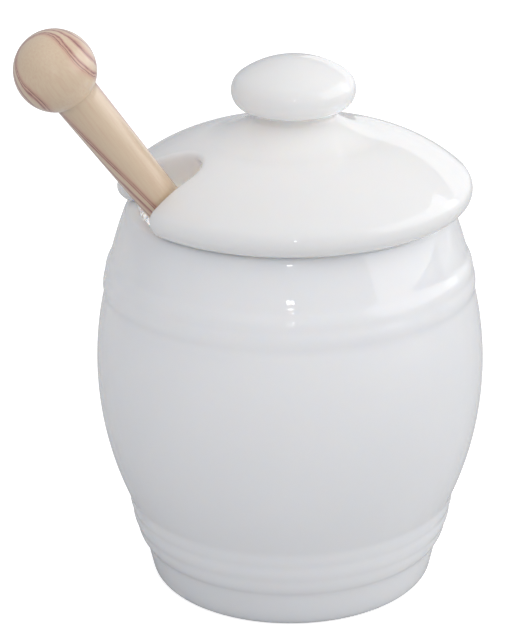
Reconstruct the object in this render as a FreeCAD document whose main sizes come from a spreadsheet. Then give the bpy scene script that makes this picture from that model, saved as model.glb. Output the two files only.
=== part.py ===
import FreeCAD, Part
import math
import os
import Sketcher

# Mustard pot: a lidded porcelain pot and the wooden stick that stands in it.
# Millimetres. The origin is the centre of the pot's base and +Z is up. The
# slot in the lid, and the stick that leans out of it, lie towards -X and a
# little towards -Y, which is the pot's front.

SIZES = [
    # pot, outside
    ("pot_height", 91.1),
    ("belly_radius", 45.1),
    ("belly_height", 52.1),
    ("waist_height", 20.5),
    ("waist_inset", 6.5),
    ("mid_ring_height", 17.0),
    ("mid_ring_inset", 0.6),
    ("low_ring_height", 13.05),
    ("low_ring_inset", 1.45),
    ("foot_height", 8.7),
    ("foot_inset", 3.35),
    ("base_inset", 5.2),
    ("base_round", 1.6),
    ("band_drop", 19.7),
    ("band_inset", 2.36),
    ("band_ring_drop", 15.4),
    ("shoulder_drop", 11.4),
    ("band_swell", 0.8),
    ("hoop_curve", 6.0),
    ("shoulder_curve", 90.0),
    # pot, mouth and inside
    ("mouth_radius", 33.4),
    ("lip_width", 3.8),
    ("lip_round", 1.1),
    ("wall", 4.2),
    ("floor_height", 8.1),
    ("floor_round", 6.0),
    ("neck_depth", 5.5),
    ("neck_curve", 30.0),
    # lid: rises are measured from its seat on the pot's lip
    ("lid_overhang", 3.2),
    ("lid_edge_round", 3.9),
    ("lid_edge_turn", "45 deg"),
    ("dome_radius", 20.0),
    ("dome_rise", 15.9),
    ("dome_curve", 38.0),
    ("flare_curve", 26.0),
    ("knob_neck_radius", 9.5),
    ("knob_neck_rise", 20.6),
    ("knob_seat_rise", 21.8),
    ("knob_radius", 14.0),
    ("knob_rise", 26.6),
    ("knob_edge_round", 4.6),
    ("knob_turn", "55 deg"),
    ("knob_under_curve", 14.0),
    ("hollow_rise", 13.0),
    ("ring_play", 2.0),
    ("ring_gap", 0.6),
    ("ring_wall", 3.2),
    ("ring_depth", 4.0),
    # wooden stick: it leans on the lip, with its foot on the pot's inner wall
    ("stick_length", 142.25),
    ("stick_turn", "206.6 deg"),
    ("stick_side", 3.13),
    ("stick_tip_radius", 2.9),
    ("stick_neck_radius", 5.1),
    ("ball_radius", 8.8),
    ("foot_lift", 3.3),
    ("foot_gap", 0.3),
    ("lip_gap", 0.4),
    # slot in the lid's edge, cut along the stick's lean and clear of the stick
    ("slot_plane", 11.0),
    ("slot_room", 8.7),
    ("slot_gap", 0.3),
    ("slot_round", 6.5),
    ("slot_near_turn", "0.75 deg"),
    ("slot_far_turn", "37.6 deg"),
    ("slot_reach", 60.0),
    ("slot_length", 90.0),
]

# Sizes that follow from the ones above.
WORKED_OUT = [
    ("waist_radius", "belly_radius - waist_inset"),
    ("base_radius", "waist_radius - base_inset"),
    ("lip_radius", "mouth_radius + lip_width"),
    ("band_height", "pot_height - band_drop"),
    ("band_ring_height", "pot_height - band_ring_drop"),
    ("shoulder_height", "pot_height - shoulder_drop"),
    # the belly is two arcs that meet at its widest: one to the band, one to the waist
    ("band_rise", "band_height - belly_height"),
    ("upper_curve", "(band_rise ^ 2 + band_inset ^ 2) / (2 * band_inset)"),
    ("waist_fall", "belly_height - waist_height"),
    ("lower_curve", "(waist_fall ^ 2 + waist_inset ^ 2) / (2 * waist_inset)"),
    # the lid is pushed away from its slot until its ring is a gap off the mouth
    ("lid_shift", "ring_play - ring_gap"),
    ("ring_radius", "mouth_radius - ring_play"),
    ("ring_inner_radius", "ring_radius - ring_wall"),
    ("lid_edge_x", "lip_radius + lid_overhang - lid_edge_round"),
    ("hollow_curve", "(ring_inner_radius ^ 2 + hollow_rise ^ 2) / (2 * hollow_rise)"),
    ("knob_x", "knob_radius - knob_edge_round"),
    ("knob_side_x", "knob_x + knob_edge_round * cos(knob_turn)"),
    ("knob_side_rise", "knob_edge_round * sin(knob_turn)"),
    ("knob_curve", "knob_edge_round + knob_x / cos(knob_turn)"),
    ("knob_top", "knob_rise - knob_x * tan(knob_turn) + knob_curve"),
    # the stick lies in an upright plane, stick_side off the pot's axis and turned
    # by stick_turn; in that plane x runs outwards, towards the ball
    ("rod_length", "stick_length - sqrt(ball_radius ^ 2 - stick_neck_radius ^ 2)"),
    ("foot_z", "floor_height + stick_tip_radius + foot_lift"),
    ("foot_curve", "lower_curve - wall - stick_tip_radius - foot_gap"),
    (
        "foot_ring",
        "belly_radius - lower_curve + sqrt(foot_curve ^ 2 - (belly_height - foot_z) ^ 2)",
    ),
    ("foot_x", "-sqrt(foot_ring ^ 2 - stick_side ^ 2)"),
    ("lip_run", "sqrt(mouth_radius ^ 2 - stick_side ^ 2) - foot_x"),
    ("lip_climb", "pot_height - lip_round - foot_z"),
    ("lip_reach", "sqrt(lip_run ^ 2 + lip_climb ^ 2)"),
    ("rod_taper", "(stick_neck_radius - stick_tip_radius) / rod_length"),
    ("rod_radius", "stick_tip_radius + rod_taper * lip_reach"),
    ("stick_lean", "atan(lip_run / lip_climb) - asin((rod_radius + lip_gap) / lip_reach)"),
    # the slot's round end lies slot_room behind the stick, on the slot's plane
    ("slot_stick_x", "foot_x + (pot_height + slot_plane - foot_z) * tan(stick_lean)"),
    ("slot_x", "slot_stick_x - lid_shift * cos(stick_turn) - slot_room"),
    ("slot_stick_y", "stick_side + lid_shift * sin(stick_turn)"),
    ("slot_y", "slot_stick_y + rod_radius + slot_gap - slot_round"),
]

doc = FreeCAD.newDocument("mustard_pot")
sheet = doc.addObject("Spreadsheet::Sheet", "Sizes")
cells = [(alias, str(size)) for alias, size in SIZES]
cells += [(alias, f"={formula}") for alias, formula in WORKED_OUT]
for row, (alias, content) in enumerate(cells, start=1):
    sheet.set(f"A{row}", alias)
    sheet.set(f"B{row}", content)
    sheet.setAlias(f"B{row}", alias)
doc.recompute()


def number(expression):
    """Work out an expression on the sheet's sizes."""
    result = sheet.evalExpression(expression)
    return float(getattr(result, "Value", result))


class Side:
    """How an outline gets from one corner to the next: an arc, or straight."""

    def __init__(self, radius=None, turns_left=True, centre=None):
        self.radius = radius
        self.turns_left = turns_left
        self.centre = centre


STRAIGHT = Side()

# Two numbers for one place may differ by this much, in millimetres.
SAME_PLACE = 0.01


def arc_centre(start, end, radius, turns_left):
    """Centre of the short arc between two points, left or right of the way."""
    middle = (start + end) * 0.5
    way = end - start
    half = way.Length / 2
    square = FreeCAD.Vector(-way.y, way.x, 0).normalize()
    reach = math.sqrt(max(radius**2 - half**2, 0.0))
    return middle + square * (reach if turns_left else -reach)


class Outline:
    """A closed outline in a sketch, every corner tied to the sheet."""

    def __init__(self, sketch):
        self.sketch = sketch
        self.tied = 0

    def tie(self, kind, where, expression):
        """Add a size to the sketch and tie it to an expression."""
        self.tied += 1
        name = f"size_{self.tied}"
        index = self.sketch.addConstraint(
            Sketcher.Constraint(kind, *where, number(expression))
        )
        self.sketch.renameConstraint(index, name)
        self.sketch.setExpression(f"Constraints.{name}", expression)

    def place(self, geometry, point, x, y):
        """Hold one point of the sketch at x, y; None leaves one free."""
        if x == "0":
            on_axis = Sketcher.Constraint("PointOnObject", geometry, point, -2)
            self.sketch.addConstraint(on_axis)
        elif x is not None:
            self.tie("DistanceX", (-1, 1, geometry, point), x)
        if y == "0":
            on_axis = Sketcher.Constraint("PointOnObject", geometry, point, -1)
            self.sketch.addConstraint(on_axis)
        elif y is not None:
            self.tie("DistanceY", (-1, 1, geometry, point), y)

    def draw(self, outline):
        """Draw the outline from pairs of a corner and the side that leaves it.

        Each corner is (x, y) or (x, y, guess), in expressions. A guess is the
        start value of an x that is left free, because an arc fixes it.
        """
        corners = [corner for corner, _ in outline]
        sides = [side for _, side in outline]
        points = []
        for corner in corners:
            x = corner[0] if corner[0] is not None else corner[2]
            points.append(FreeCAD.Vector(number(x), number(corner[1]), 0))
        ends = []
        for index, side in enumerate(sides):
            start = points[index]
            end = points[(index + 1) % len(points)]
            if side.radius is None:
                geometry = self.sketch.addGeometry(Part.LineSegment(start, end), False)
                ends.append((geometry, 1, 2))
                continue
            radius = number(side.radius)
            centre = arc_centre(start, end, radius, side.turns_left)
            first, last = (start, end) if side.turns_left else (end, start)
            turn = [math.atan2(p.y - centre.y, p.x - centre.x) for p in (first, last)]
            circle = Part.Circle(centre, FreeCAD.Vector(0, 0, 1), radius)
            arc = Part.ArcOfCircle(circle, turn[0], turn[1])
            geometry = self.sketch.addGeometry(arc, False)
            ends.append((geometry, 1, 2) if side.turns_left else (geometry, 2, 1))
        for index, (geometry, _, last) in enumerate(ends):
            following, first, _ = ends[(index + 1) % len(ends)]
            joint = Sketcher.Constraint("Coincident", geometry, last, following, first)
            self.sketch.addConstraint(joint)
        for side, (geometry, _, _) in zip(sides, ends):
            if side.radius is not None:
                self.tie("Radius", (geometry,), side.radius)
            if side.centre is not None:
                self.place(geometry, 3, *side.centre)
        for corner, (geometry, first, _) in zip(corners, ends):
            self.place(geometry, first, corner[0], corner[1])
        doc.recompute()


def origin_plane(body, role):
    """One of a body's own origin planes."""
    return next(part for part in body.Origin.OriginFeatures if part.Role == role)


def new_sketch(body, name, role):
    """An empty sketch on one of the body's origin planes."""
    sketch = body.newObject("Sketcher::SketchObject", name)
    sketch.AttachmentSupport = [(origin_plane(body, role), "")]
    sketch.MapMode = "FlatFace"
    return sketch


def turned(body, sketch, name):
    """Turn a sketch on the XZ plane a full turn round its own upright axis."""
    turning = body.newObject("PartDesign::Revolution", name)
    turning.Profile = sketch
    turning.ReferenceAxis = (sketch, ["V_Axis"])
    turning.Angle = 360
    return turning


def rounded(body, base, name, rings, radius):
    """Round the full-circle edges of a feature at each (radius, height)."""
    doc.recompute()
    wanted = [(number(ring), number(height)) for ring, height in rings]
    edges = []
    for index, edge in enumerate(base.Shape.Edges, start=1):
        if not isinstance(edge.Curve, Part.Circle):
            continue
        for ring, height in wanted:
            off = abs(edge.Curve.Radius - ring) + abs(edge.Curve.Center.z - height)
            if off < SAME_PLACE:
                edges.append(f"Edge{index}")
    rounding = body.newObject("PartDesign::Fillet", name)
    rounding.Base = (base, edges)
    rounding.setExpression("Radius", radius)
    doc.recompute()
    return rounding


def belly_x(curve, height, inset="0"):
    """Radius of one of the belly's two arcs at a height, moved in by an inset."""
    rise = f"({height} - Sizes.belly_height)"
    return f"(Sizes.belly_radius - {curve} + sqrt(({curve} - {inset}) ^ 2 - {rise} ^ 2))"


def build_pot():
    """The pot: one turned shell with a hooped foot and a hooped shoulder."""
    body = doc.addObject("PartDesign::Body", "pot")
    sketch = new_sketch(body, "pot_outline", "XZ_Plane")
    hoop = Side("Sizes.hoop_curve")
    upper = "Sizes.upper_curve"
    lower = "Sizes.lower_curve"
    level = (None, "Sizes.belly_height")
    waist = "Sizes.waist_radius"
    band = "Sizes.band_height"
    ring = "Sizes.band_ring_height"
    shoulder = "Sizes.shoulder_height"
    floor = "Sizes.floor_height"
    outline = [
        (("0", "0"), STRAIGHT),
        (("Sizes.base_radius", "0"), STRAIGHT),
        ((f"{waist} - Sizes.foot_inset", "Sizes.foot_height"), hoop),
        ((f"{waist} - Sizes.low_ring_inset", "Sizes.low_ring_height"), hoop),
        ((f"{waist} - Sizes.mid_ring_inset", "Sizes.mid_ring_height"), hoop),
        ((None, "Sizes.waist_height", waist), Side(lower, True, level)),
        (("Sizes.belly_radius", "Sizes.belly_height"), Side(upper, True, level)),
        ((None, band, belly_x(upper, band)), hoop),
        ((f"{belly_x(upper, ring)} + Sizes.band_swell", ring), hoop),
        (
            (f"{belly_x(upper, shoulder)} + Sizes.band_swell", shoulder),
            Side("Sizes.shoulder_curve"),
        ),
        (("Sizes.lip_radius", "Sizes.pot_height"), STRAIGHT),
        (("Sizes.mouth_radius", "Sizes.pot_height"), STRAIGHT),
        (
            ("Sizes.mouth_radius", "Sizes.pot_height - Sizes.neck_depth"),
            Side("Sizes.neck_curve", False),
        ),
        (
            (None, band, belly_x(upper, band, "Sizes.wall")),
            Side(f"{upper} - Sizes.wall", False, level),
        ),
        (
            ("Sizes.belly_radius - Sizes.wall", "Sizes.belly_height"),
            Side(f"{lower} - Sizes.wall", False, level),
        ),
        ((None, floor, belly_x(lower, floor, "Sizes.wall")), STRAIGHT),
        (("0", floor), STRAIGHT),
    ]
    Outline(sketch).draw(outline)
    shell = turned(body, sketch, "pot_shell")
    lip_rings = [("Sizes.lip_radius", "Sizes.pot_height"), ("Sizes.mouth_radius", "Sizes.pot_height")]
    lipped = rounded(body, shell, "pot_lip", lip_rings, "Sizes.lip_round")
    footed = rounded(body, lipped, "pot_foot", [("Sizes.base_radius", "0")], "Sizes.base_round")
    floor_rings = [(belly_x(lower, floor, "Sizes.wall"), floor)]
    rounded(body, footed, "pot_floor", floor_rings, "Sizes.floor_round")
    return body


def build_lid():
    """The lid: a turned dome and knob, hollow below, with a slot in its edge."""
    body = doc.addObject("PartDesign::Body", "lid")
    body.setExpression("Placement.Base.x", "Sizes.lid_shift")
    body.setExpression("Placement.Base.z", "Sizes.pot_height")
    sketch = new_sketch(body, "lid_outline", "XZ_Plane")
    edge = "Sizes.lid_edge_round"
    outline = [
        (("0", "Sizes.hollow_rise"), Side("Sizes.hollow_curve", False)),
        (("Sizes.ring_inner_radius", "0"), STRAIGHT),
        (("Sizes.ring_inner_radius", "-Sizes.ring_depth"), STRAIGHT),
        (("Sizes.ring_radius", "-Sizes.ring_depth"), STRAIGHT),
        (("Sizes.ring_radius", "0"), STRAIGHT),
        (("Sizes.lid_edge_x", "0"), Side(edge)),
        (
            (
                f"Sizes.lid_edge_x + {edge} * cos(Sizes.lid_edge_turn)",
                f"{edge} * (1 + sin(Sizes.lid_edge_turn))",
            ),
            Side("Sizes.dome_curve"),
        ),
        (("Sizes.dome_radius", "Sizes.dome_rise"), Side("Sizes.flare_curve", False)),
        (("Sizes.knob_neck_radius", "Sizes.knob_neck_rise"), STRAIGHT),
        (("Sizes.knob_neck_radius", "Sizes.knob_seat_rise"), Side("Sizes.knob_under_curve")),
        (
            ("Sizes.knob_side_x", "Sizes.knob_rise - Sizes.knob_side_rise"),
            Side("Sizes.knob_edge_round"),
        ),
        (
            ("Sizes.knob_side_x", "Sizes.knob_rise + Sizes.knob_side_rise"),
            Side("Sizes.knob_curve"),
        ),
        (("0", "Sizes.knob_top"), STRAIGHT),
    ]
    Outline(sketch).draw(outline)
    turned(body, sketch, "lid_dome")
    cut_slot(body)
    return body


def cut_slot(body):
    """Cut the lid's slot: a wedge with a round inner end, along the stick's lean."""
    sketch = new_sketch(body, "slot_outline", "XY_Plane")
    sketch.setExpression("AttachmentOffset.Base.z", "Sizes.slot_plane")
    sketch.setExpression("AttachmentOffset.Rotation.Angle", "Sizes.stick_turn")
    near = "Sizes.slot_near_turn"
    far = "Sizes.slot_far_turn"
    near_x = f"Sizes.slot_x - Sizes.slot_round * sin({near})"
    near_y = f"Sizes.slot_y + Sizes.slot_round * cos({near})"
    far_x = f"Sizes.slot_x - Sizes.slot_round * sin({far})"
    far_y = f"Sizes.slot_y - Sizes.slot_round * cos({far})"
    near_end = (
        f"{near_x} + Sizes.slot_reach * cos({near})",
        f"{near_y} + Sizes.slot_reach * sin({near})",
    )
    far_end = (
        f"{far_x} + Sizes.slot_reach * cos({far})",
        f"{far_y} - Sizes.slot_reach * sin({far})",
    )
    outline = [
        (near_end, STRAIGHT),
        ((near_x, near_y), Side("Sizes.slot_round")),
        ((far_x, far_y), STRAIGHT),
        (far_end, STRAIGHT),
    ]
    Outline(sketch).draw(outline)
    slot = body.newObject("PartDesign::Pocket", "lid_slot")
    slot.Profile = sketch
    slot.Midplane = True
    slot.setExpression("Length", "Sizes.slot_length")
    slot.UseCustomVector = True
    slot.setExpression("Direction.x", "sin(Sizes.stick_lean) * cos(Sizes.stick_turn)")
    slot.setExpression("Direction.y", "sin(Sizes.stick_lean) * sin(Sizes.stick_turn)")
    slot.setExpression("Direction.z", "cos(Sizes.stick_lean)")
    doc.recompute()


def build_stick():
    """The stick: a tapered round rod with a ball on top."""
    body = doc.addObject("PartDesign::Body", "stick")
    sketch = new_sketch(body, "stick_outline", "XZ_Plane")
    ball = Side("Sizes.ball_radius")
    outline = [
        (("0", "-Sizes.stick_tip_radius"), Side("Sizes.stick_tip_radius")),
        (("Sizes.stick_tip_radius", "0"), STRAIGHT),
        (("Sizes.stick_neck_radius", "Sizes.rod_length"), ball),
        (("Sizes.ball_radius", "Sizes.stick_length"), ball),
        (("0", "Sizes.stick_length + Sizes.ball_radius"), STRAIGHT),
    ]
    Outline(sketch).draw(outline)
    turned(body, sketch, "stick_rod")
    along = ("cos(Sizes.stick_turn)", "sin(Sizes.stick_turn)")
    foot_x = f"Sizes.foot_x * {along[0]} - Sizes.stick_side * {along[1]}"
    foot_y = f"Sizes.foot_x * {along[1]} + Sizes.stick_side * {along[0]}"
    body.Placement.Rotation = FreeCAD.Rotation(FreeCAD.Vector(0, 1, 0), 1)
    body.setExpression("Placement.Base.x", foot_x)
    body.setExpression("Placement.Base.y", foot_y)
    body.setExpression("Placement.Base.z", "Sizes.foot_z")
    body.setExpression("Placement.Rotation.Axis.x", f"-{along[1]}")
    body.setExpression("Placement.Rotation.Axis.y", along[0])
    body.setExpression("Placement.Rotation.Angle", "Sizes.stick_lean")
    return body


nodes = [build_pot(), build_lid(), build_stick()]
doc.recompute()

for part in doc.Objects:
    troubles = [state for state in part.State if state in ("Invalid", "Error")]
    if troubles:
        raise RuntimeError(f"{part.Name}: {troubles}")

os.makedirs("parts", exist_ok=True)
for node in nodes:
    shape = node.Shape
    if shape.isNull() or not shape.isValid() or len(shape.Solids) != 1:
        raise RuntimeError(f"{node.Label} is not one sound solid")
    shape.exportStep(f"parts/{node.Label}.step")
    box = shape.BoundBox
    print(
        node.Label,
        f"{box.XMin:.1f} {box.XMax:.1f} {box.YMin:.1f} {box.YMax:.1f} {box.ZMin:.1f} {box.ZMax:.1f}",
        f"volume {shape.Volume / 1000:.1f} cm3",
    )
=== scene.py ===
import itertools
import logging
import math
from dataclasses import dataclass
from enum import Enum
from typing import Callable, Sequence

import bmesh
import bpy
import numpy as np
from mathutils import Matrix, Vector

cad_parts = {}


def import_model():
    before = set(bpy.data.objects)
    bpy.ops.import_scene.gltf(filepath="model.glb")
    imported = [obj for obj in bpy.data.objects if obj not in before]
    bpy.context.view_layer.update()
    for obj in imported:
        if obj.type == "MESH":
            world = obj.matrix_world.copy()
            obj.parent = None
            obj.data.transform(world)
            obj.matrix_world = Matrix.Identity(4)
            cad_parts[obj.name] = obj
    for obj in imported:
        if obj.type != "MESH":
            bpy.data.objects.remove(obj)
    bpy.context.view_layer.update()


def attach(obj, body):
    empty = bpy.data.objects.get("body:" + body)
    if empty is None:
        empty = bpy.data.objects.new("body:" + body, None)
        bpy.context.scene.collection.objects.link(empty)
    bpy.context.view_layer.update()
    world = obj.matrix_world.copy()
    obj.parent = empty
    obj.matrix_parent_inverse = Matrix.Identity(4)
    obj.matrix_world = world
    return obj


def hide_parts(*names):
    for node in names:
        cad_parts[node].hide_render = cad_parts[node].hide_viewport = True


# A porcelain mustard pot with a slotted lid and a wooden stick.
#
# Lengths in the classes are millimetres, and every mesh is made in metres. The
# origin is the centre of the pot's base, +Z is up and -Y is the front.

MM = 0.001
MERGE_REACH = 1e-7
LOG = logging.getLogger("mustard_pot")

Array = np.ndarray
Item = bpy.types.Object
Material = bpy.types.Material
Node = bpy.types.Node
Socket = bpy.types.NodeSocket
Point = tuple[float, float]
Triple = tuple[float, float, float]
Color = tuple[float, float, float, float]


class Slot(Enum):
    """The material slots of the part."""

    GLAZE = "glaze"
    WOOD = "wood"


class Bend(Enum):
    """Which way an arc turns as the outline is followed."""

    LEFT = "left"
    RIGHT = "right"


class Tone(Enum):
    """The wood's colours, from between the growth rings to their heart."""

    PALE = (0.76, 0.59, 0.41, 1.0)
    WARM = (0.70, 0.46, 0.32, 1.0)
    ROSE = (0.53, 0.24, 0.19, 1.0)
    DARK = (0.20, 0.05, 0.05, 1.0)


# ---- outlines


@dataclass(frozen=True)
class Side:
    """One side of an outline, from its start corner to the next corner.

    A radius of 0 is a straight side.
    """

    start: Point
    radius: float = 0.0
    bend: Bend = Bend.LEFT


class Outline:
    """A closed outline of straight sides and arcs, in (radius, height)."""

    def __init__(self, sides: Sequence[Side]) -> None:
        """Keep the sides and work out the centre of each arc.

        Args:
            sides: The sides in order. The last one ends at the first's start.
        """
        self.sides = list(sides)
        self.ends = [side.start for side in self.sides[1:]] + [self.sides[0].start]
        self.centres = [self._centre(i) for i in range(len(self.sides))]

    def _centre(self, index: int) -> Point | None:
        """Centre of one side's short arc.

        Args:
            index: Which side.

        Returns:
            The centre, or None for a straight side.
        """
        side = self.sides[index]
        if side.radius == 0.0:
            return None
        (x0, y0), (x1, y1) = side.start, self.ends[index]
        half = math.hypot(x1 - x0, y1 - y0) / 2
        reach = math.sqrt(max(side.radius**2 - half**2, 0.0)) / (2 * half)
        if side.bend is Bend.RIGHT:
            reach = -reach
        middle = ((x0 + x1) / 2, (y0 + y1) / 2)
        return (middle[0] - (y1 - y0) * reach, middle[1] + (x1 - x0) * reach)

    def _turn(self, index: int) -> tuple[float, float]:
        """Start angle and signed sweep of one arc.

        Args:
            index: Which side.

        Returns:
            The start angle and the sweep, in radians.
        """
        centre = self.centres[index]
        (x0, y0), (x1, y1) = self.sides[index].start, self.ends[index]
        first = math.atan2(y0 - centre[1], x0 - centre[0])
        last = math.atan2(y1 - centre[1], x1 - centre[0])
        sweep = (last - first) % (2 * math.pi)
        if self.sides[index].bend is Bend.RIGHT:
            sweep -= 2 * math.pi
        return first, sweep

    def sampled(self, step: float) -> Array:
        """Points along the outline, every corner among them.

        Args:
            step: The greatest distance between two neighbours.

        Returns:
            An array of (radius, height), without the first point again.
        """
        points: list[Point] = []
        for index, side in enumerate(self.sides):
            (x0, y0), (x1, y1) = side.start, self.ends[index]
            if self.centres[index] is None:
                count = max(1, math.ceil(math.hypot(x1 - x0, y1 - y0) / step))
                for k in range(count):
                    t = k / count
                    points.append((x0 + (x1 - x0) * t, y0 + (y1 - y0) * t))
                continue
            first, sweep = self._turn(index)
            radius = side.radius
            count = max(2, math.ceil(abs(sweep) * radius / step))
            cx, cy = self.centres[index]
            for k in range(count):
                a = first + sweep * k / count
                points.append((cx + radius * math.cos(a), cy + radius * math.sin(a)))
        return np.array(points)

    def distance(self, points: Array) -> Array:
        """Signed distance of points from the outline, negative inside.

        Args:
            points: An array of (radius, height).

        Returns:
            One distance for each point.
        """
        x, y = points[:, 0], points[:, 1]
        nearest = np.full(len(points), np.inf)
        inside = np.zeros(len(points), bool)
        for index, side in enumerate(self.sides):
            (x0, y0), (x1, y1) = side.start, self.ends[index]
            if self.centres[index] is None:
                run = np.array([x1 - x0, y1 - y0])
                t = ((x - x0) * run[0] + (y - y0) * run[1]) / (run @ run)
                t = np.clip(t, 0.0, 1.0)
                gap = np.hypot(x - x0 - t * run[0], y - y0 - t * run[1])
                nearest = np.minimum(nearest, gap)
                if y0 != y1:
                    crossing = x0 + (y - y0) * run[0] / run[1]
                    inside ^= ((y0 > y) != (y1 > y)) & (x < crossing)
                continue
            cx, cy = self.centres[index]
            first, sweep = self._turn(index)
            low = first if sweep > 0 else first + sweep
            on_arc = (np.arctan2(y - cy, x - cx) - low) % (2 * math.pi) < abs(sweep)
            ring = np.abs(np.hypot(x - cx, y - cy) - side.radius)
            tips = np.minimum(np.hypot(x - x0, y - y0), np.hypot(x - x1, y - y1))
            nearest = np.minimum(nearest, np.where(on_arc, ring, tips))
            reach = side.radius**2 - (y - cy) ** 2
            half = np.sqrt(np.maximum(reach, 0.0))
            for hit in (cx - half, cx + half):
                angle = (np.arctan2(y - cy, hit - cx) - low) % (2 * math.pi)
                inside ^= (reach > 0) & (angle < abs(sweep)) & (x < hit)
        return np.where(inside, -nearest, nearest)


# ---- objects and meshes


def linked(name: str, data: bpy.types.ID) -> Item:
    """Make an object and link it to the scene.

    Args:
        name: The object's name.
        data: Its mesh, light or camera.

    Returns:
        The object.
    """
    item = bpy.data.objects.new(name, data)
    bpy.context.scene.collection.objects.link(item)
    return item


class MeshMaker:
    """Turns points and faces into finished mesh objects."""

    @staticmethod
    def from_arrays(
        name: str, points: Array, faces: Sequence, material: Material
    ) -> Item:
        """A smooth mesh object from points in millimetres.

        Args:
            name: The object's name.
            points: An array of (x, y, z).
            faces: The corners of each face.
            material: The surface's material.

        Returns:
            The object, linked to the scene, with its faces outward.
        """
        mesh = bpy.data.meshes.new(name)
        mesh.from_pydata((points * MM).tolist(), [], [list(map(int, f)) for f in faces])
        mesh.materials.append(material)
        item = linked(name, mesh)
        MeshMaker.tidy(item)
        return item

    @staticmethod
    def tidy(item: Item) -> None:
        """Merge doubles, point the faces outward and shade them smooth.

        Args:
            item: The object whose mesh is tidied.
        """
        work = bmesh.new()
        work.from_mesh(item.data)
        bmesh.ops.remove_doubles(work, verts=work.verts, dist=MERGE_REACH)
        bmesh.ops.recalc_face_normals(work, faces=work.faces)
        work.to_mesh(item.data)
        work.free()
        item.data.shade_smooth()


class NodeBuilder:
    """Short ways to build nodes in any tree."""

    def __init__(self, tree: bpy.types.NodeTree) -> None:
        """Keep the tree that nodes are added to."""
        self.tree = tree

    def add(self, kind: str, **settings: object) -> Node:
        """Add a node.

        Args:
            kind: The node's type.
            settings: Properties to set on it.

        Returns:
            The node.
        """
        node = self.tree.nodes.new(kind)
        for name, value in settings.items():
            setattr(node, name, value)
        return node

    def feed(self, target: Socket, source: object) -> None:
        """Link a socket to an input, or set the input to a value.

        Args:
            target: The input.
            source: A socket, a number or a colour.
        """
        if isinstance(source, Socket):
            self.tree.links.new(source, target)
        else:
            target.default_value = source

    def fill(self, node: Node, inputs: dict[str, object]) -> Node:
        """Feed several inputs of a node.

        Args:
            node: The node.
            inputs: What each input gets, by its name.

        Returns:
            The node.
        """
        for name, source in inputs.items():
            self.feed(node.inputs[name], source)
        return node

    def math(self, operation: str, *values: object) -> Socket:
        """Add a Math node.

        Args:
            operation: What it works out.
            values: Its inputs, in order.

        Returns:
            Its result.
        """
        node = self.add("ShaderNodeMath", operation=operation)
        for index, value in enumerate(values):
            self.feed(node.inputs[index], value)
        return node.outputs[0]

    def socket(
        self, name: str, kind: str, output: bool = False
    ) -> bpy.types.NodeTreeInterfaceSocket:
        """Add an input or output to the tree's own interface.

        Args:
            name: The socket's name.
            kind: What it carries, such as Geometry or Float.
            output: Whether it is an output.

        Returns:
            The interface's entry.
        """
        way = "OUTPUT" if output else "INPUT"
        new = self.tree.interface.new_socket
        return new(name, in_out=way, socket_type="NodeSocket" + kind)


class Lathe:
    """A Geometry Nodes tree that turns an outline a full turn round Z."""

    def __init__(self) -> None:
        """Build the tree once."""
        self.tree = bpy.data.node_groups.new("lathe", "GeometryNodeTree")
        build = NodeBuilder(self.tree)
        build.socket("Outline", "Geometry")
        self.segments = build.socket("Segments", "Int")
        self.material = build.socket("Material", "Material")
        build.socket("Turned", "Geometry", output=True)
        enter = build.add("NodeGroupInput").outputs
        leave = build.add("NodeGroupOutput")
        size = build.add("GeometryNodeAttributeDomainSize", component="MESH")
        build.feed(size.inputs["Geometry"], enter["Outline"])
        columns = build.math("ADD", enter["Segments"], 1.0)
        grid = build.add("GeometryNodeMeshGrid")
        rows = size.outputs["Point Count"]
        build.fill(grid, {"Vertices X": rows, "Vertices Y": columns})
        index = build.add("GeometryNodeInputIndex").outputs["Index"]
        row = build.math("FLOOR", build.math("DIVIDE", index, columns))
        column = build.math("SUBTRACT", index, build.math("MULTIPLY", row, columns))
        share = build.math("DIVIDE", column, enter["Segments"])
        angle = build.math("MULTIPLY", share, 2 * math.pi)
        sample = build.add(
            "GeometryNodeSampleIndex", data_type="FLOAT_VECTOR", domain="POINT"
        )
        place = build.add("GeometryNodeInputPosition").outputs["Position"]
        build.fill(sample, {"Geometry": enter["Outline"], "Value": place, "Index": row})
        turn = build.add("ShaderNodeVectorRotate", rotation_type="Z_AXIS")
        build.fill(turn, {"Vector": sample.outputs["Value"], "Angle": angle})
        step = grid.outputs["Mesh"]
        for kind, inputs in (
            ("SetPosition", {"Position": turn.outputs["Vector"]}),
            ("MergeByDistance", {"Distance": MERGE_REACH}),
            ("RealizeInstances", {}),
            ("SetMaterial", {"Material": enter["Material"]}),
        ):
            node = build.add("GeometryNode" + kind)
            step = build.fill(node, {"Geometry": step, **inputs}).outputs["Geometry"]
        build.feed(leave.inputs["Turned"], step)

    def turn(
        self, name: str, outline: Array, segments: int, material: Material
    ) -> Item:
        """Turn an open or closed line of points into a solid of revolution.

        Args:
            name: The new object's name.
            outline: An array of (radius, height) in millimetres. It starts
                and ends on the axis.
            segments: Steps round the axis.
            material: The surface's material.

        Returns:
            The object, as a plain mesh.
        """
        line = bpy.data.meshes.new(name + "_outline")
        line.from_pydata([(r * MM, 0.0, z * MM) for r, z in outline.tolist()], [], [])
        item = linked(name, line)
        modifier = item.modifiers.new("lathe", "NODES")
        modifier.node_group = self.tree
        modifier[self.segments.identifier] = segments
        modifier[self.material.identifier] = material
        graph = bpy.context.evaluated_depsgraph_get()
        mesh = bpy.data.meshes.new_from_object(item.evaluated_get(graph))
        mesh.name = name
        item.modifiers.remove(modifier)
        item.data = mesh
        bpy.data.meshes.remove(line)
        MeshMaker.tidy(item)
        return item


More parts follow.
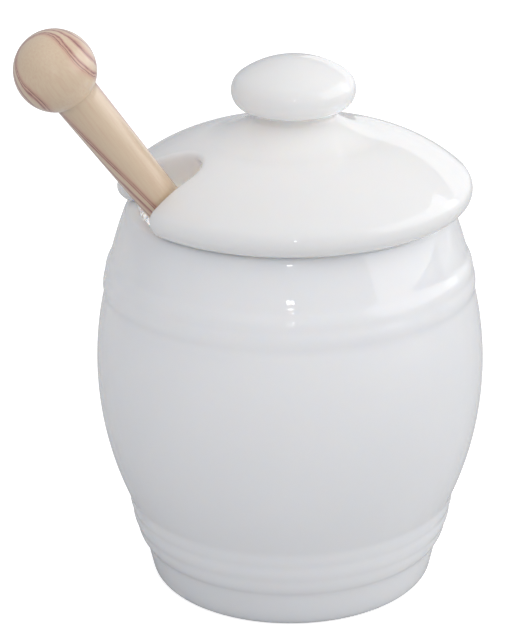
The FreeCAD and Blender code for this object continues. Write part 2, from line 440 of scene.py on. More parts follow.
class Skin:
    """The surface of a solid that is given by its signed distance.

    A slope is measured over PROBE millimetres each way. The cells are searched
    in PARTS, which saves memory. EVENING is the share of the way to the
    neighbours' mean that a vertex moves in one round.
    """

    PROBE = 0.002
    LEAST_SLOPE = 0.5
    PARTS = 24
    FIRST_ROUNDS = 3
    LAST_ROUNDS = 2
    EVENING = 0.5
    TINY = 1e-9

    def __init__(self, distance: Callable[[Array], Array], step: float) -> None:
        """Keep the solid's signed distance, and the side of the searched cells."""
        self.distance = distance
        self.step = step

    def _slope(self, points: Array) -> Array:
        """Direction in which the distance grows.

        Args:
            points: Where it is wanted.

        Returns:
            One direction for each point, as long as the growth is steep.
        """
        slope = np.empty_like(points)
        for axis in range(3):
            shift = np.zeros(3)
            shift[axis] = self.PROBE
            ahead, behind = self.distance(points + shift), self.distance(points - shift)
            slope[:, axis] = ahead - behind
        return slope / (2 * self.PROBE)

    def _settle(self, points: Array, rounds: int) -> Array:
        """Move points on to the surface.

        Args:
            points: Points near the surface.
            rounds: How many Newton steps are taken.

        Returns:
            The moved points.
        """
        for _ in range(rounds):
            slope = self._slope(points)
            square = np.maximum((slope**2).sum(1), self.LEAST_SLOPE**2)
            move = (self.distance(points) / square)[:, None] * slope
            points = points - np.clip(move, -self.step, self.step)
        return points

    def mesh(self, low: Array, high: Array) -> tuple[Array, Array]:
        """Find the surface inside a box, one vertex for each crossed cell.

        Args:
            low: The box's lowest corner.
            high: The box's highest corner.

        Returns:
            The vertices, and four corners for each face.
        """
        counts = np.ceil((high - low) / self.step).astype(int) + 2
        axes = [low[a] + self.step * (np.arange(counts[a]) - 0.5) for a in range(3)]
        grid = np.stack(np.meshgrid(*axes, indexing="ij"), axis=-1).reshape(-1, 3)
        parts = np.array_split(grid, self.PARTS)
        values = np.concatenate([self.distance(part) for part in parts]).reshape(counts)
        cells = counts - 1
        total = np.zeros((*cells, 3))
        hits = np.zeros(cells)
        faces = []
        number = np.arange(cells.prod()).reshape(cells)
        for axis in range(3):
            others = [a for a in range(3) if a != axis]
            first = np.moveaxis(values, axis, 0)
            a, b = first[:-1], first[1:]
            crossed = (a < 0) != (b < 0)
            share = np.where(crossed, a / np.where(crossed, a - b, 1.0), 0.0)
            sums, found = np.moveaxis(total, axis, 0), np.moveaxis(hits, axis, 0)
            (i, j), (rows, columns) = others, cells[others]
            for u, v in itertools.product((0, 1), repeat=2):
                window = np.s_[:, u : u + rows, v : v + columns]
                seen = crossed[window]
                found += seen
                sums[..., axis] += np.where(seen, share[window], 0.0)
                sums[..., i] += seen * float(u)
                sums[..., j] += seen * float(v)
            block = np.moveaxis(number, axis, 0)
            inner = crossed[:, 1:-1, 1:-1]
            low_end, high_end = slice(None, -1), slice(1, None)
            ends = (low_end, high_end, high_end, low_end)
            corners = zip(ends, (low_end, low_end, high_end, high_end))
            quad = np.stack([block[:, u, v][inner] for u, v in corners], axis=1)
            rising = (a < 0)[:, 1:-1, 1:-1][inner]
            flip = rising if axis != 1 else ~rising
            quad[~flip] = quad[~flip][:, ::-1]
            faces.append(quad)
        used = hits > 0
        origin = np.array([axis[0] for axis in axes])
        where = np.argwhere(used)
        points = origin + self.step * (where + total[used] / hits[used][:, None])
        renumber = np.full(cells.prod(), -1)
        renumber[number[used]] = np.arange(len(points))
        return points, renumber[np.concatenate(faces)]

    def surface(self, low: Array, high: Array, rounds: int) -> tuple[Array, Array]:
        """The finished surface: found, evened out and put exactly in place.

        Args:
            low: Lowest corner of the box searched.
            high: Highest corner of the box searched.
            rounds: How often the vertices are evened out.

        Returns:
            The vertices, and four corners for each face.
        """
        points, faces = self.mesh(low, high)
        points = self._settle(points, self.FIRST_ROUNDS)
        pairs = np.concatenate([faces[:, [k, (k + 1) % 4]] for k in range(4)])
        pairs = np.unique(np.sort(pairs, axis=1), axis=0)
        here, there = np.concatenate([pairs, pairs[:, ::-1]]).T
        count = len(points)
        degree = np.bincount(here, minlength=count)[:, None]
        for _ in range(rounds):
            sums = [np.bincount(here, points[there, a], count) for a in range(3)]
            mean = np.stack(sums, axis=1) / degree
            slope = self._slope(points)
            slope /= np.maximum(np.linalg.norm(slope, axis=1), self.TINY)[:, None]
            move = mean - points
            move -= (move * slope).sum(1)[:, None] * slope
            points = self._settle(points + self.EVENING * move, 1)
        return self._settle(points, self.LAST_ROUNDS), faces


# ---- finishes


class ShaderTree(NodeBuilder):
    """Short ways to build nodes in a material or a shader group."""

    MIX_COLORS = (6, 7)
    MIX_RESULT = 2
    NOISE_INPUTS = ("Vector", "Scale", "Detail", "Roughness")

    @classmethod
    def of_material(cls, name: str) -> tuple[Material, "ShaderTree"]:
        """Make a material with an empty tree.

        Args:
            name: The material's name.

        Returns:
            The material, and its tree's builder.
        """
        made = bpy.data.materials.new(name)
        made.use_nodes = True
        made.node_tree.nodes.clear()
        return made, cls(made.node_tree)

    def surface(self, inputs: dict[str, object]) -> None:
        """Add a Principled BSDF and the material's output.

        Args:
            inputs: The shader's inputs, by name.
        """
        shader = self.fill(self.add("ShaderNodeBsdfPrincipled"), inputs)
        output = self.add("ShaderNodeOutputMaterial")
        self.feed(output.inputs["Surface"], shader.outputs["BSDF"])

    def noise(
        self, vector: object, scale: object, detail: float, roughness: float = 0.5
    ) -> Socket:
        """Add a Noise Texture, read at a place, and give its factor."""
        inputs = dict(zip(self.NOISE_INPUTS, (vector, scale, detail, roughness)))
        return self.fill(self.add("ShaderNodeTexNoise"), inputs).outputs["Fac"]

    def stretched(self, vector: object, share: float) -> Socket:
        """Scale a place along Z, so that a pattern read there is drawn out."""
        inputs = {"Vector": vector, "Scale": (1.0, 1.0, share)}
        return self.fill(self.add("ShaderNodeMapping"), inputs).outputs["Vector"]

    def ramp(self, factor: Socket, stops: Sequence[tuple[float, Color]]) -> Socket:
        """Add a Color Ramp.

        Args:
            factor: Its factor.
            stops: Each stop's place and colour, in order.

        Returns:
            Its colour.
        """
        node = self.add("ShaderNodeValToRGB")
        elements = node.color_ramp.elements
        while len(elements) < len(stops):
            elements.new(1.0)
        for element, (place, color) in zip(elements, stops):
            element.position = place
            element.color = color
        self.feed(node.inputs["Fac"], factor)
        return node.outputs["Color"]

    def mix(self, factor: object, first: object, second: object) -> Socket:
        """Mix two colours.

        Args:
            factor: Share of the second colour.
            first: The first colour.
            second: The second colour.

        Returns:
            The mixed colour.
        """
        node = self.add("ShaderNodeMix", data_type="RGBA")
        self.feed(node.inputs["Factor"], factor)
        for index, color in zip(self.MIX_COLORS, (first, second)):
            self.feed(node.inputs[index], color)
        return node.outputs[self.MIX_RESULT]

    def bump(self, height: object, strength: float, distance: float) -> Socket:
        """Turn a height into a normal, its full step `distance` millimetres high."""
        inputs = {"Strength": strength, "Distance": distance * MM, "Height": height}
        return self.fill(self.add("ShaderNodeBump"), inputs).outputs["Normal"]


class Waviness:
    """Shader group: slow unevenness of a hand-finished surface."""

    INPUTS = ("Slow scale", "Fine scale", "Fine share")
    SLOW_DETAIL = 2.0
    FINE_DETAIL = 3.0

    def __init__(self) -> None:
        """Build the group once."""
        self.group = bpy.data.node_groups.new("waviness", "ShaderNodeTree")
        build = ShaderTree(self.group)
        build.socket("Vector", "Vector")
        for name in self.INPUTS:
            build.socket(name, "Float")
        build.socket("Height", "Float", output=True)
        build.socket("Mask", "Float", output=True)
        enter = build.add("NodeGroupInput").outputs
        leave = build.add("NodeGroupOutput")
        slow = build.noise(enter["Vector"], enter["Slow scale"], self.SLOW_DETAIL)
        fine = build.noise(enter["Vector"], enter["Fine scale"], self.FINE_DETAIL)
        part = build.math("MULTIPLY", fine, enter["Fine share"])
        build.fill(leave, {"Height": build.math("ADD", slow, part), "Mask": fine})

    def place(
        self, build: ShaderTree, vector: object, values: Triple
    ) -> bpy.types.NodeOutputs:
        """Put the group into a material.

        Args:
            build: The material's tree.
            vector: Where the group is read.
            values: Scale of the slow waves, scale of the fine grain, and
                height of the fine grain against the slow waves.

        Returns:
            The group's outputs.
        """
        node = build.add("ShaderNodeGroup", node_tree=self.group)
        inputs = {"Vector": vector} | dict(zip(self.INPUTS, values))
        return build.fill(node, inputs).outputs


@dataclass(frozen=True)
class GlazeFinish:
    """Glossy white glaze on porcelain, painted a little darker and cooler on the pot
    than on the lid: painted reflection of cool surroundings and painted shade on the
    pot, painted light from above on the lid.

    Whatever lies above `lid_seat` is the lid.
    """

    name: str = "white_glaze"
    # Painted light: the pot's two colours are darker and bluer than the lid's as
    # painted reflection and painted shade, and the lid's are lighter as painted light
    # from above. Within each pair the paler colour is random tone.
    pot_shaded_tone: Color = (0.855, 0.865, 0.885, 1.0)
    pot_shaded_pale: Color = (0.875, 0.885, 0.905, 1.0)
    lid_lit_tone: Color = (0.925, 0.925, 0.92, 1.0)
    lid_lit_pale: Color = (0.945, 0.945, 0.94, 1.0)
    lid_seat: float = 91.1
    waves: Triple = (45.0, 700.0, 0.05)
    wave_height: float = 0.04
    wave_strength: float = 0.35
    roughness: float = 0.03
    rough_spread: float = 0.02
    coat: float = 0.6
    coat_roughness: float = 0.015
    ior: float = 1.5
    depth_share: float = 0.85
    depth: float = 6.0
    depth_by_color: Triple = (1.0, 0.9, 0.8)

    def material(self, waviness: Waviness) -> Material:
        """Build the material.

        Args:
            waviness: The group for the glaze's slow unevenness.

        Returns:
            The material.
        """
        made, build = ShaderTree.of_material(self.name)
        where = build.add("ShaderNodeTexCoord").outputs["Object"]
        uneven = waviness.place(build, where, self.waves)
        split = build.add("ShaderNodeSeparateXYZ")
        build.feed(split.inputs[0], where)
        lit_lid_mask = build.math("GREATER_THAN", split.outputs["Z"], self.lid_seat * MM)
        height = uneven["Height"]
        # Painted light: above the lid's seat the lighter, painted-lit lid colours are
        # used, and below it the darker, painted-shade pot colours. The waviness mixes
        # in random tone.
        tone = build.mix(
            lit_lid_mask,
            build.mix(height, self.pot_shaded_tone, self.pot_shaded_pale),
            build.mix(height, self.lid_lit_tone, self.lid_lit_pale),
        )
        rough = build.math("MULTIPLY", uneven["Mask"], self.rough_spread)
        build.surface(
            {
                "Base Color": tone,
                "Roughness": build.math("ADD", rough, self.roughness),
                "IOR": self.ior,
                "Coat Weight": self.coat,
                "Coat Roughness": self.coat_roughness,
                "Subsurface Weight": self.depth_share,
                "Subsurface Radius": self.depth_by_color,
                "Subsurface Scale": self.depth * MM,
                "Normal": build.bump(height, self.wave_strength, self.wave_height),
            }
        )
        return made


@dataclass(frozen=True)
class WoodFinish:
    """Pale varnished wood, with reddish growth rings round a pith at its side.

    It reads the attribute `grain`, a place in the stick's own frame, in metres
    and with Z along the stick. The rings run from the first to the last ring's
    distance from the pith.
    """

    name: str = "pale_wood"
    pith: Point = (1.21, 4.9)
    pith_height: float = 142.25
    pith_slope: Point = (0.1044, -0.0512)
    first_ring: float = 4.8
    last_ring: float = 10.3
    rings: tuple[tuple[float, Tone], ...] = (
        (0.0, Tone.PALE),
        (0.11, Tone.WARM),
        (0.14, Tone.ROSE),
        (0.155, Tone.WARM),
        (0.18, Tone.DARK),
        (0.20, Tone.ROSE),
        (0.22, Tone.WARM),
        (0.25, Tone.ROSE),
        (0.27, Tone.DARK),
        (0.30, Tone.ROSE),
        (0.34, Tone.PALE),
        (0.46, Tone.PALE),
        (0.51, Tone.ROSE),
        (0.54, Tone.DARK),
        (0.58, Tone.ROSE),
        (0.64, Tone.WARM),
        (0.72, Tone.PALE),
        (0.80, Tone.ROSE),
        (0.83, Tone.DARK),
        (0.88, Tone.WARM),
        (1.0, Tone.PALE),
    )
    bends: Triple = (190.0, 1500.0, 0.16)
    bend_stretch: float = 0.14
    bend_middle: float = 0.58
    bend_reach: float = 1.7
    fibre_stretch: float = 0.05
    fibre_scale: float = 2300.0
    fibre_detail: float = 3.0
    fibre_roughness: float = 0.6
    speck_range: Point = (0.42, 0.75)
    speck_share: float = 0.55
    line_height: float = 0.04
    line_strength: float = 0.3
    roughness: float = 0.3
    rough_spread: float = 0.14
    coat: float = 1.0
    coat_roughness: float = 0.26
    coat_ior: float = 1.8

    def _reach(self, build: ShaderTree, grain: object) -> Socket:
        """Distance from the leaning pith, in millimetres.

        Args:
            build: The material's tree.
            grain: The place in the stick's own frame.

        Returns:
            The distance.
        """
        split = build.add("ShaderNodeSeparateXYZ")
        build.feed(split.inputs[0], grain)
        rise = build.math("SUBTRACT", split.outputs["Z"], self.pith_height * MM)
        squares = []
        for axis, start, slope in zip("XY", self.pith, self.pith_slope):
            pith = build.math("ADD", build.math("MULTIPLY", rise, slope), start * MM)
            off = build.math("SUBTRACT", split.outputs[axis], pith)
            squares.append(build.math("POWER", off, 2.0))
        reach = build.math("SQRT", build.math("ADD", *squares))
        return build.math("MULTIPLY", reach, 1.0 / MM)

    def _rings(self, build: ShaderTree, reach: object) -> Socket:
        """Colour of the growth rings at a distance from the pith.

        Args:
            build: The material's tree.
            reach: The distance, in millimetres.

        Returns:
            The colour.
        """
        share = build.math("SUBTRACT", reach, self.first_ring)
        share = build.math("DIVIDE", share, self.last_ring - self.first_ring)
        return build.ramp(share, [(place, tone.value) for place, tone in self.rings])

    def material(self, waviness: Waviness) -> Material:
        """Build the material.

        Args:
            waviness: The group that bends the rings and gives the fine grain.

        Returns:
            The material.
        """
        made, build = ShaderTree.of_material(self.name)
        grain = build.add("ShaderNodeAttribute", attribute_name="grain")
        grain = grain.outputs["Vector"]
        drawn = build.stretched(grain, self.bend_stretch)
        bend = waviness.place(build, drawn, self.bends)["Height"]
        shift = build.math("SUBTRACT", bend, self.bend_middle)
        shift = build.math("MULTIPLY", shift, self.bend_reach)
        rings = self._rings(build, build.math("ADD", self._reach(build, grain), shift))
        fibre = build.noise(
            build.stretched(grain, self.fibre_stretch),
            self.fibre_scale,
            self.fibre_detail,
            self.fibre_roughness,
        )
        low, high = self.speck_range
        grey = (self.speck_share,) * 3 + (1.0,)
        speck = build.ramp(fibre, [(low, (0.0, 0.0, 0.0, 1.0)), (high, grey)])
        rough = build.math("MULTIPLY", fibre, self.rough_spread)
        build.surface(
            {
                "Base Color": build.mix(speck, rings, Tone.WARM.value),
                "Roughness": build.math("ADD", rough, self.roughness),
                "Coat Weight": self.coat,
                "Coat Roughness": self.coat_roughness,
                "Coat IOR": self.coat_ior,
                "Normal": build.bump(fibre, self.line_strength, self.line_height),
            }
        )
        return made


# ---- pieces


@dataclass
class Stick:
    """The wooden stick: it leans on the pot's lip and stands on its wall.

    Its tip lies low in the pot, just above the floor's rounded corner.
    """

    length: float = 142.22
    turn: float = 206.6
    lean: float = 35.583
    foot: Triple = (25.456, 9.254, 14.3)
    tip_radius: float = 2.9
    neck_radius: float = 5.1
    ball_radius: float = 8.8
    rod_step: float = 1.5
    tip_steps: int = 12
    ball_steps: int = 48
    segments: int = 96

    @property
    def rod(self) -> float:
        """Length of the rod, from its foot to where the ball begins."""
        return self.length - math.sqrt(self.ball_radius**2 - self.neck_radius**2)

    def outline(self) -> Array:
        """Half the stick's outline.

        Returns:
            An array of (radius, height), from the tip to the ball's top.
        """
        tip, ball = self.tip_radius, self.ball_radius
        points: list[Point] = []
        for k in range(self.tip_steps):
            angle = math.pi / 2 * k / self.tip_steps
            points.append((tip * math.sin(angle), -tip * math.cos(angle)))
        run_steps = math.ceil(self.rod / self.rod_step)
        for k in range(run_steps):
            share = k / run_steps
            points.append((tip + (self.neck_radius - tip) * share, self.rod * share))
        arc = math.pi - math.asin(self.neck_radius / ball)
        for k in range(self.ball_steps + 1):
            a = arc - arc * k / self.ball_steps
            points.append((ball * math.sin(a), self.length + ball * math.cos(a)))
        return np.array(points)

    def build(self, lathe: Lathe, finish: Material) -> Item:
        """Make the stick and put it in place.

        Args:
            lathe: The turning tree.
            finish: The wood.

        Returns:
            The stick.
        """
        item = lathe.turn("wooden_stick", self.outline(), self.segments, finish)
        self._keep_grain(item)
        turned = Matrix.Rotation(math.radians(self.turn), 4, "Z")
        leaned = Matrix.Rotation(math.radians(self.lean), 4, "Y")
        moved = Matrix.Translation(Vector(self.foot) * MM)
        item.data.transform(moved @ turned @ leaned)
        item.data.update()
        return item

    @staticmethod
    def _keep_grain(item: Item) -> None:
        """Store each vertex's place in the stick's own frame.

        Args:
            item: The stick, before it is put in place.
        """
        count = len(item.data.vertices)
        places = np.zeros(count * 3, np.float32)
        item.data.vertices.foreach_get("co", places)
        grain = item.data.attributes.new("grain", "FLOAT_VECTOR", "POINT")
        grain.data.foreach_set("vector", places)


@dataclass
class Pot:
    """The pot: a barrel with a hooped foot, a hooped shoulder and a thin lip."""

    height: float = 91.1
    base_radius: float = 33.4
    base_round: float = 1.6
    base_flare: float = 0.28
    hoops: tuple[Point, ...] = ((35.25, 8.7), (37.15, 13.05), (38.0, 17.0))
    waist_height: float = 20.5
    belly_radius: float = 45.1
    belly_height: float = 52.1
    belly_curve: float = 80.0
    band_drop: float = 19.7
    band_ring_drop: float = 15.4
    shoulder_drop: float = 11.4
    band_swell: float = 0.8
    hoop_curve: float = 6.0
    shoulder_curve: float = 90.0
    mouth_radius: float = 33.4
    lip_width: float = 3.8
    lip_round: float = 1.1
    lip_flare: float = 0.35
    lip_lean: float = 0.2
    wall: float = 4.2
    floor_height: float = 8.1
    floor_round: float = 6.0
    floor_inset: float = 5.6
    corner_height: float = 13.1
    corner_inset: float = 0.1
    corner_belly_height: float = 14.1
    neck_depth: float = 5.5
    neck_curve: float = 30.0
    glaze_depth: float = 0.45
    step: float = 0.4
    segments: int = 300

    def belly(self, height: float, inset: float = 0.0) -> float:
        """Radius of the belly's curve.

        Args:
            height: Where it is wanted.
            inset: How far the curve is moved in.

        Returns:
            The radius.
        """
        rise = height - self.belly_height
        curve = self.belly_curve - inset
        return self.belly_radius - self.belly_curve + math.sqrt(curve**2 - rise**2)

    def outline(self) -> Array:
        """The pot's outline, with its grooves softened by the glaze.

        Returns:
            An array of (radius, height), from the base to the floor.
        """
        waist, swell = self.waist_height, self.band_swell
        band = self.height - self.band_drop
        ring = self.height - self.band_ring_drop
        shoulder = self.height - self.shoulder_drop
        neck = self.height - self.neck_depth
        lip = self.mouth_radius + self.lip_width
        lip_low = self.height - self.lip_round
        inner = self.belly_curve - self.wall
        corner_x = self.belly(self.corner_belly_height, self.wall) - self.corner_inset
        floor_x = self.belly(self.floor_height, self.wall) - self.floor_inset
        outside = Outline(
            [
                Side((0.0, 0.0)),
                Side((self.base_radius - self.base_round, 0.0), self.base_round),
                Side((self.base_radius + self.base_flare, self.base_round)),
                *(Side(hoop, self.hoop_curve) for hoop in self.hoops),
                Side((self.belly(waist), waist), self.belly_curve),
                Side((self.belly(band), band), self.hoop_curve),
                Side((self.belly(ring) + swell, ring), self.hoop_curve),
                Side((self.belly(shoulder) + swell, shoulder), self.shoulder_curve),
                Side((lip + self.lip_flare, lip_low), self.lip_round),
                Side((lip - self.lip_round + self.lip_lean, self.height)),
                Side((self.mouth_radius + self.lip_round, self.height), self.lip_round),
                Side((self.mouth_radius, lip_low)),
                Side((self.mouth_radius, neck), self.neck_curve, Bend.RIGHT),
                Side((self.belly(band, self.wall), band), inner, Bend.RIGHT),
                Side((corner_x, self.corner_height), self.floor_round, Bend.RIGHT),
                Side((floor_x, self.floor_height)),
                Side((0.0, self.floor_height)),
            ]
        )
        points = outside.sampled(self.step)
        last = np.argmax((points[:, 0] <= 0.0) & (points[:, 1] > 0.0))
        return self._softened(points[: last + 1])

    def _softened(self, points: Array) -> Array:
        """Round the corners of a line a little, without leaving its inside.

        Args:
            points: The line.

        Returns:
            The line with each point moved towards its neighbours' mean.
        """
        # A round spreads a corner by half a step, and rounds add up squared.
        rounds = round((self.glaze_depth / self.step) ** 2 * 4)
        for _ in range(rounds):
            moved = points.copy()
            moved[1:-1] = (points[:-2] + 2 * points[1:-1] + points[2:]) / 4
            points = moved
        points[:, 1] = np.clip(points[:, 1], 0.0, self.height)
        return points

    def build(self, lathe: Lathe, finish: Material) -> Item:
        """Turn the pot on the lathe, with the glaze as its finish."""
        return lathe.turn("porcelain_pot", self.outline(), self.segments, finish)


@dataclass
class Lid:
    """The lid: a dome with a knob, hollow below, and a slot for the stick."""

    seat: float = 91.1
    shift: float = 1.4
    edge_radius: float = 40.4
    edge_round: float = 3.9
    edge_turn: float = 45.0
    dome_radius: float = 20.0
    dome_rise: float = 15.9
    dome_curve: float = 38.0
    flare_curve: float = 26.0
    knob_neck_radius: float = 9.5
    knob_neck_rise: float = 20.6
    knob_seat_rise: float = 21.8
    knob_radius: float = 14.0
    knob_rise: float = 26.6
    knob_edge_round: float = 4.6
    knob_turn: float = 55.0
    knob_under_curve: float = 14.0
    hollow_rise: float = 13.0
    ring_radius: float = 31.4
    ring_wall: float = 3.2
    ring_depth: float = 4.0
    slot_plane: float = 11.0
    slot_room: float = 8.7
    slot_gap: float = 0.3
    slot_round: float = 6.5
    slot_near_turn: float = 0.75
    slot_far_turn: float = 37.6
    slot_edge_round: float = 1.4
    cell: float = 0.55
    side_room: float = 0.3
    low_room: float = 0.31
    top_room: float = 8.1
    evening_rounds: int = 8

    def outline(self) -> Outline:
        """The lid's outline, before the slot is cut.

        Returns:
            The outline, with heights measured from the lid's seat.
        """
        edge, bead = math.radians(self.edge_turn), self.edge_round
        edge_x = self.edge_radius - bead
        edge_top = (edge_x + bead * math.cos(edge), bead * (1 + math.sin(edge)))
        inner = self.ring_radius - self.ring_wall
        hollow = (inner**2 + self.hollow_rise**2) / (2 * self.hollow_rise)
        low, outer = -self.ring_depth, self.ring_radius
        ring = ((inner, 0.0), (inner, low), (outer, low), (outer, 0.0))
        neck, rise = self.knob_neck_radius, self.knob_rise
        knob, rim = math.radians(self.knob_turn), self.knob_edge_round
        knob_x = self.knob_radius - rim
        side_x = knob_x + rim * math.cos(knob)
        side_z = rim * math.sin(knob)
        top_curve = rim + knob_x / math.cos(knob)
        top = rise - knob_x * math.tan(knob) + top_curve
        return Outline(
            [
                Side((0.0, self.hollow_rise), hollow, Bend.RIGHT),
                *(Side(corner) for corner in ring),
                Side((edge_x, 0.0), bead),
                Side(edge_top, self.dome_curve),
                Side((self.dome_radius, self.dome_rise), self.flare_curve, Bend.RIGHT),
                Side((neck, self.knob_neck_rise)),
                Side((neck, self.knob_seat_rise), self.knob_under_curve),
                Side((side_x, rise - side_z), rim),
                Side((side_x, rise + side_z), top_curve),
                Side((0.0, top)),
            ]
        )

    def slot_centre(self, stick: Stick, pot: Pot) -> Point:
        """Centre of the slot's round end, in the stick's turned frame.

        Args:
            stick: The stick that the slot clears.
            pot: The pot, whose lip the stick leans on.

        Returns:
            Its place on the slot's plane.
        """
        turn = math.radians(stick.turn)
        along = np.array([math.cos(turn), math.sin(turn)])
        aside = np.array([-math.sin(turn), math.cos(turn)])
        foot = np.array(stick.foot[:2])
        foot_x, side = foot @ along, foot @ aside
        rise = self.seat + self.slot_plane - stick.foot[2]
        stick_x = foot_x + rise * math.tan(math.radians(stick.lean))
        lip_run = math.sqrt(pot.mouth_radius**2 - side**2) - foot_x
        reach = math.hypot(lip_run, self.seat - pot.lip_round - stick.foot[2])
        taper = (stick.neck_radius - stick.tip_radius) / stick.rod
        rod_radius = stick.tip_radius + taper * reach
        centre_x = stick_x - self.shift * math.cos(turn) - self.slot_room
        clear_y = side + self.shift * math.sin(turn) + rod_radius + self.slot_gap
        return (centre_x, clear_y - self.slot_round)

    def slot_distance(self, points: Array, stick: Stick, centre: Point) -> Array:
        """Signed distance from the slot, negative inside the slot.

        Args:
            points: Points in the lid's frame, heights from its seat.
            stick: The stick, whose lean the slot follows.
            centre: Centre of the slot's round end.

        Returns:
            One distance for each point.
        """
        turn = math.radians(stick.turn)
        slope = math.tan(math.radians(stick.lean))
        x = points[:, 0] * math.cos(turn) + points[:, 1] * math.sin(turn)
        y = -points[:, 0] * math.sin(turn) + points[:, 1] * math.cos(turn)
        x = x - (points[:, 2] - self.slot_plane) * slope - centre[0]
        y = y - centre[1]
        near, far = math.radians(self.slot_near_turn), math.radians(self.slot_far_turn)
        middle = (near - far) / 2
        upper = y * math.cos(middle) - x * math.sin(middle) > 0
        normal_x = np.where(upper, -math.sin(near), -math.sin(far))
        normal_y = np.where(upper, math.cos(near), -math.cos(far))
        on_near = x * math.cos(near) + y * math.sin(near)
        on_far = x * math.cos(far) - y * math.sin(far)
        ahead = np.where(upper, on_near, on_far)
        reach = np.maximum(np.hypot(x, y), Skin.TINY)
        beside = ahead > 0
        flat = np.where(beside, x * normal_x + y * normal_y, reach) - self.slot_round
        tilt = np.where(beside, normal_x, x / reach)
        return flat / np.sqrt(1 + (tilt * slope) ** 2)

    def build(self, stick: Stick, pot: Pot, finish: Material) -> Item:
        """Make the lid's skin and put it on the pot.

        Args:
            stick: The stick that the slot clears.
            pot: The pot that the lid sits on.
            finish: The glaze.

        Returns:
            The lid.
        """
        outline = self.outline()
        centre = self.slot_centre(stick, pot)
        edge = self.slot_edge_round

        def distance(points: Array) -> Array:
            """Signed distance from the slotted lid, its cut edges rounded.

            Args:
                points: Points in the lid's frame.

            Returns:
                One distance for each point.
            """
            x, y, z = points.T
            solid = outline.distance(np.stack([np.hypot(x, y), z], axis=1))
            kept = -self.slot_distance(points, stick, centre)
            outer = np.maximum(np.stack([solid + edge, kept + edge]), 0.0)
            inner = np.minimum(np.maximum(solid, kept), -edge)
            return inner + np.hypot(outer[0], outer[1])

        reach = self.edge_radius + self.side_room
        low = np.array([-reach, -reach, -self.ring_depth - self.low_room])
        high = np.array([reach, reach, self.knob_rise + self.top_room])
        skin = Skin(distance, self.cell)
        points, faces = skin.surface(low, high, self.evening_rounds)
        points += np.array([self.shift, 0.0, self.seat])
        return MeshMaker.from_arrays("porcelain_lid", points, faces, finish)


# ---- studio


@dataclass(frozen=True)
class Lamp:
    """One soft panel or small lamp, turned towards the pot."""

    name: str
    place: Triple
    width: float
    depth: float
    radiance: float
    mirrored: bool = True
    target: Triple = (0.0, 0.0, 60.0)

    def build(self) -> None:
        """Make the lamp; its power follows from its size and radiance."""
        data = bpy.data.lights.new(self.name, "AREA")
        data.shape = "RECTANGLE"
        data.size = self.width * MM
        data.size_y = self.depth * MM
        data.energy = self.radiance * math.pi * self.width * self.depth * MM**2
        item = linked(self.name, data)
        item.location = Vector(self.place) * MM
        item.visible_camera = False
        item.visible_glossy = self.mirrored
        aim = Vector(self.target) * MM - item.location
        item.rotation_euler = aim.to_track_quat("-Z", "Y").to_euler()


# Where the lamp inside the pot is aimed: the slot in the lid.
THROUGH_SLOT = (-33.0, -14.0, 98.0)


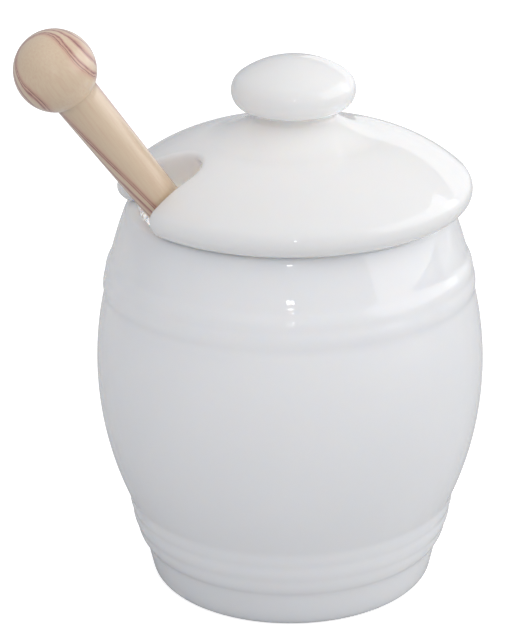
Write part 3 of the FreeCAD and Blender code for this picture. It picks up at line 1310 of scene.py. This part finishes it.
@dataclass
class Studio:
    """A white table, soft lights and the camera.

    The lamp inside the pot stands for light that passes through thin porcelain.
    """

    eye: Triple = (0.0, -454.9, 244.1)
    pan: float = -1.08
    tilt: float = 21.71
    roll: float = -0.94
    lens: float = 119.3
    sensor: float = 36.0
    clip: Point = (0.01, 20.0)
    floor_size: float = 6000.0
    floor_color: Color = (0.66, 0.66, 0.665, 1.0)
    floor_glow: float = 0.7
    floor_roughness: float = 0.9
    dim_sky: Color = (0.36, 0.38, 0.42, 1.0)
    bright_sky: Color = (0.74, 0.74, 0.745, 1.0)
    bright_way: Triple = (0.6, -0.2, 0.82)
    sky_range: Point = (-0.8, 0.9)
    lamps: tuple[Lamp, ...] = (
        Lamp("panel_right", (1300.0, 0.0, 620.0), 2000.0, 1000.0, 0.92),
        Lamp("panel_back", (560.0, 760.0, 240.0), 1200.0, 480.0, 0.45),
        Lamp("panel_front", (-450.0, -900.0, 1200.0), 1000.0, 900.0, 1.0, False),
        Lamp("glow_inside", (14.0, 8.0, 62.0), 20.0, 20.0, 13.0, False, THROUGH_SLOT),
        Lamp("lamp_low", (20.0, -1500.0, 390.0), 110.0, 22.0, 20.0),
        Lamp("lamp_high", (20.0, -1450.0, 660.0), 110.0, 22.0, 20.0),
    )

    def build(self) -> None:
        """Make the floor, lights, surroundings and camera."""
        self._floor()
        for lamp in self.lamps:
            lamp.build()
        self._world()
        self._camera()
        bpy.context.scene.view_settings.view_transform = "Standard"

    def _floor(self) -> None:
        """The pale floor, which glows a little for the camera alone."""
        made, build = ShaderTree.of_material("floor_white")
        seen = build.add("ShaderNodeLightPath").outputs["Is Camera Ray"]
        build.surface(
            {
                "Base Color": self.floor_color,
                "Roughness": self.floor_roughness,
                "Emission Color": (1.0, 1.0, 1.0, 1.0),
                "Emission Strength": build.math("MULTIPLY", seen, self.floor_glow),
            }
        )
        corners = np.array([[-1, -1, 0], [1, -1, 0], [1, 1, 0], [-1, 1, 0]])
        points = corners * (self.floor_size / 2)
        item = MeshMaker.from_arrays("floor", points, [[0, 1, 2, 3]], made)

    def _world(self) -> None:
        """Surroundings that brighten towards the upper right."""
        world = bpy.data.worlds.new("white_room")
        world.use_nodes = True
        build = ShaderTree(world.node_tree)
        way = build.add("ShaderNodeTexCoord").outputs["Generated"]
        along = build.add("ShaderNodeVectorMath", operation="DOT_PRODUCT")
        build.feed(along.inputs[0], way)
        build.feed(along.inputs[1], self.bright_way)
        share = build.add("ShaderNodeMapRange", interpolation_type="SMOOTHSTEP")
        build.feed(share.inputs["Value"], along.outputs["Value"])
        low, high = self.sky_range
        build.fill(share, {"From Min": low, "From Max": high})
        sky = build.mix(share.outputs["Result"], self.dim_sky, self.bright_sky)
        background = world.node_tree.nodes["Background"]
        build.fill(background, {"Color": sky, "Strength": 1.0})
        bpy.context.scene.world = world

    def _camera(self) -> None:
        """The camera: turned by its pan, tipped by its tilt, then rolled."""
        data = bpy.data.cameras.new("camera")
        data.lens = self.lens
        data.sensor_width = self.sensor
        data.clip_start, data.clip_end = self.clip
        item = linked("camera", data)
        pan, tilt, roll = (math.radians(v) for v in (self.pan, self.tilt, self.roll))
        level, drop = math.cos(tilt), math.sin(tilt)
        forward = Vector((math.sin(pan) * level, math.cos(pan) * level, -drop))
        right = Vector((math.cos(pan), -math.sin(pan), 0.0))
        up = right.cross(forward)
        right_rolled = right * math.cos(roll) + up * math.sin(roll)
        up_rolled = up * math.cos(roll) - right * math.sin(roll)
        matrix = Matrix((right_rolled, up_rolled, -forward)).transposed().to_4x4()
        matrix.translation = Vector(self.eye) * MM
        item.matrix_world = matrix
        bpy.context.scene.camera = item


def main() -> None:
    """Build the pot, its lid and its stick on the fixed frame."""
    logging.basicConfig(level=logging.INFO, format="%(name)s: %(message)s")
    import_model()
    waviness = Waviness()
    glaze = GlazeFinish().material(waviness)
    wood = WoodFinish().material(waviness)
    lathe = Lathe()
    pot, lid, stick = Pot(), Lid(), Stick()
    pieces = (
        ("pot", pot.build(lathe, glaze), Slot.GLAZE.value),
        ("lid", lid.build(stick, pot, glaze), Slot.GLAZE.value),
        ("stick", stick.build(lathe, wood), Slot.WOOD.value),
    )
    for node, item, slot in pieces:
        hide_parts(node)
        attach(item, "root")
        LOG.info("%s: %d faces for node %s", item.name, len(item.data.polygons), node)
    Studio().build()


if __name__ == "__main__":
    main()
